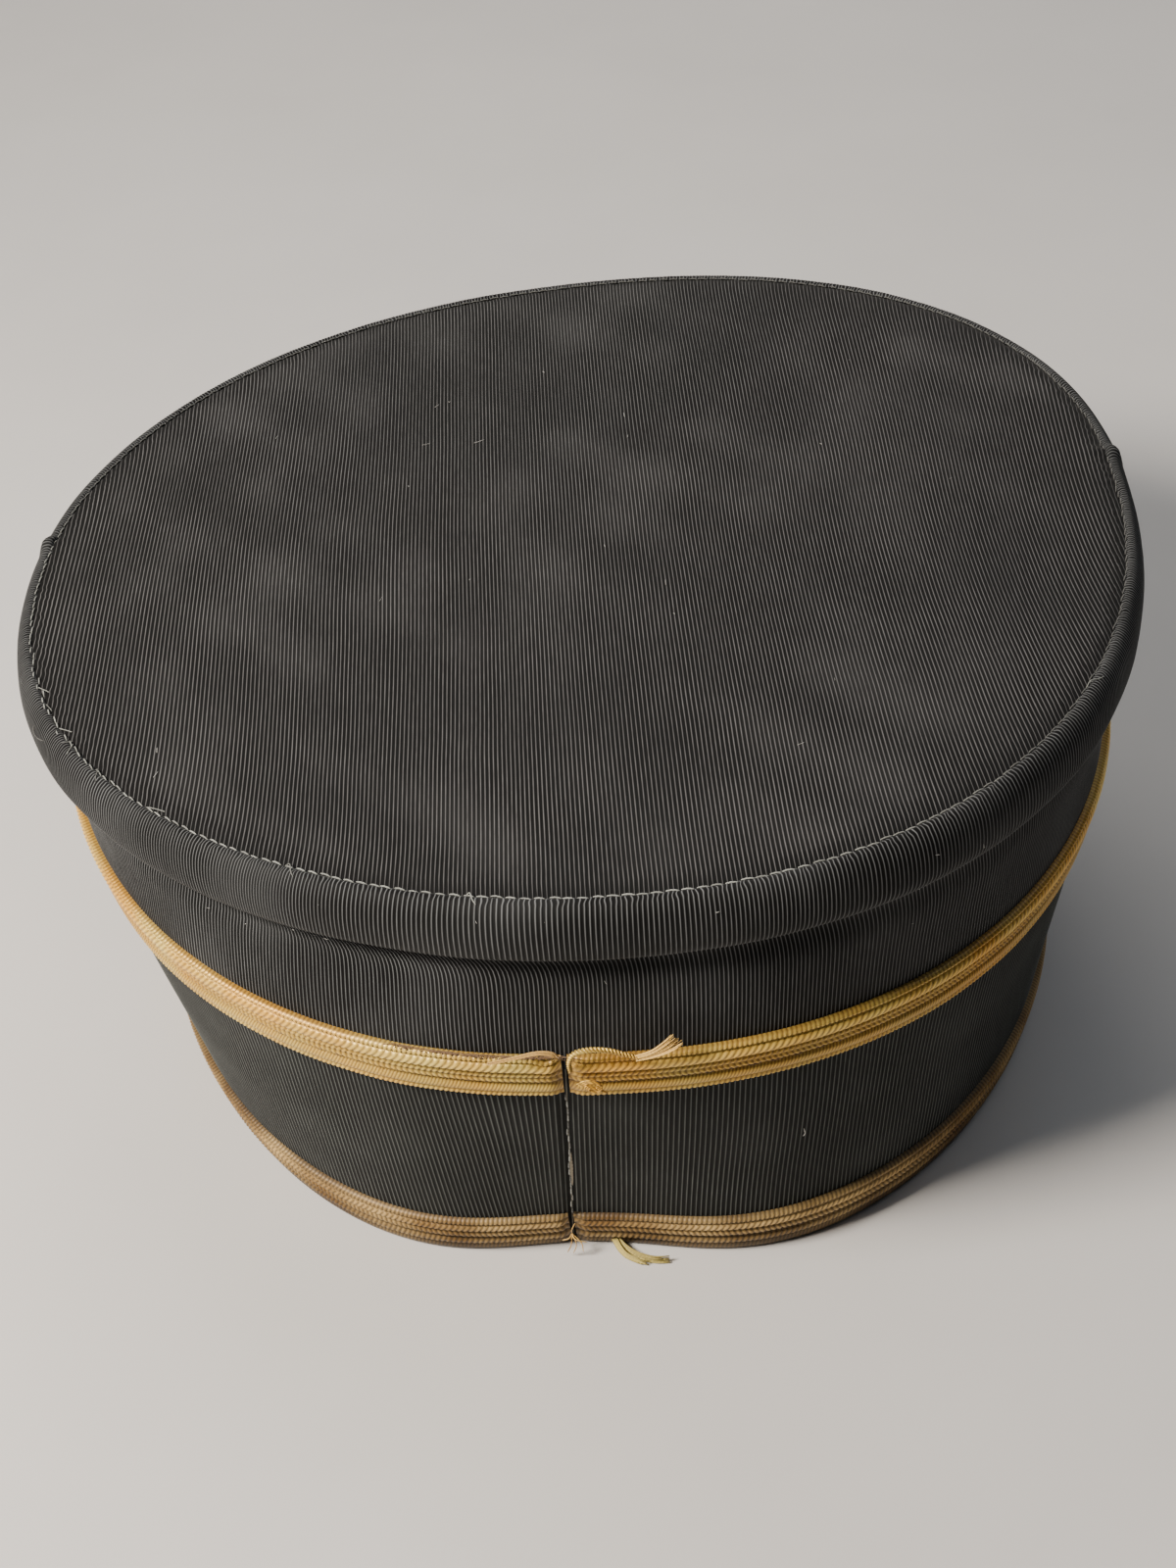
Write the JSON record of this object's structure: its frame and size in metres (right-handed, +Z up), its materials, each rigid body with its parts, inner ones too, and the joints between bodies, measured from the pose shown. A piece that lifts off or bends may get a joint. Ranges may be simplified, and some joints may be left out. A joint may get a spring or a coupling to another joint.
{
  "type": "flared cap",
  "caption": "Stiff flared cap of ribbed black cloth with a flat oval crown and gold flat braid around the crown seam and the head opening.",
  "frame": {"origin": "on the table, under the middle of the crown's rim", "axes": "+Z up, +Y towards the wearer's front, back seam towards -Y, +X towards the wearer's right"},
  "size_m": [0.2005, 0.2092, 0.092],
  "materials": {
    "ribbed_cloth": "matt ribbed faille, greyed along the ribs",
    "thread": "matt cotton",
    "gold_thread": "matt cotton",
    "gold_braid": "satin, antique gold",
    "tarnished_braid": "dull, tarnished gold",
    "frayed_gold": "loose fibres",
    "wire": "dull drawn wire",
    "board": "matt pressed board",
    "buckram": "stiffened open cloth",
    "leather": "worn smooth",
    "reed": "matt",
    "lining": "thin twill"
  },
  "bodies": {
    "root": {"crown_top_panel": "ribbed_cloth", "crown_side_back": "ribbed_cloth", "crown_side_front": "ribbed_cloth", "crown_edge_stitching": "thread", "crown_side_seam_stitching": "thread", "crown_edge_wire": "wire", "crown_top_stiffener": "board", "crown_side_stiffener": "buckram", "band_cover": "ribbed_cloth", "band_stiffener": "buckram", "back_seam_stitching": "thread", "upper_braid": "gold_braid", "upper_braid_stitching": "gold_thread", "upper_braid_turned_end": "gold_braid", "upper_braid_frayed_tip": "frayed_gold", "lower_braid": "tarnished_braid", "lower_braid_stitching": "gold_thread", "lower_braid_frayed_tuft": "frayed_gold", "sweatband": "leather", "sweatband_reed": "reed", "sweatband_joint_tape": "lining", "sweatband_stitching": "thread", "lining_top": "lining", "lining_side": "lining"}
  },
  "joints": []
}
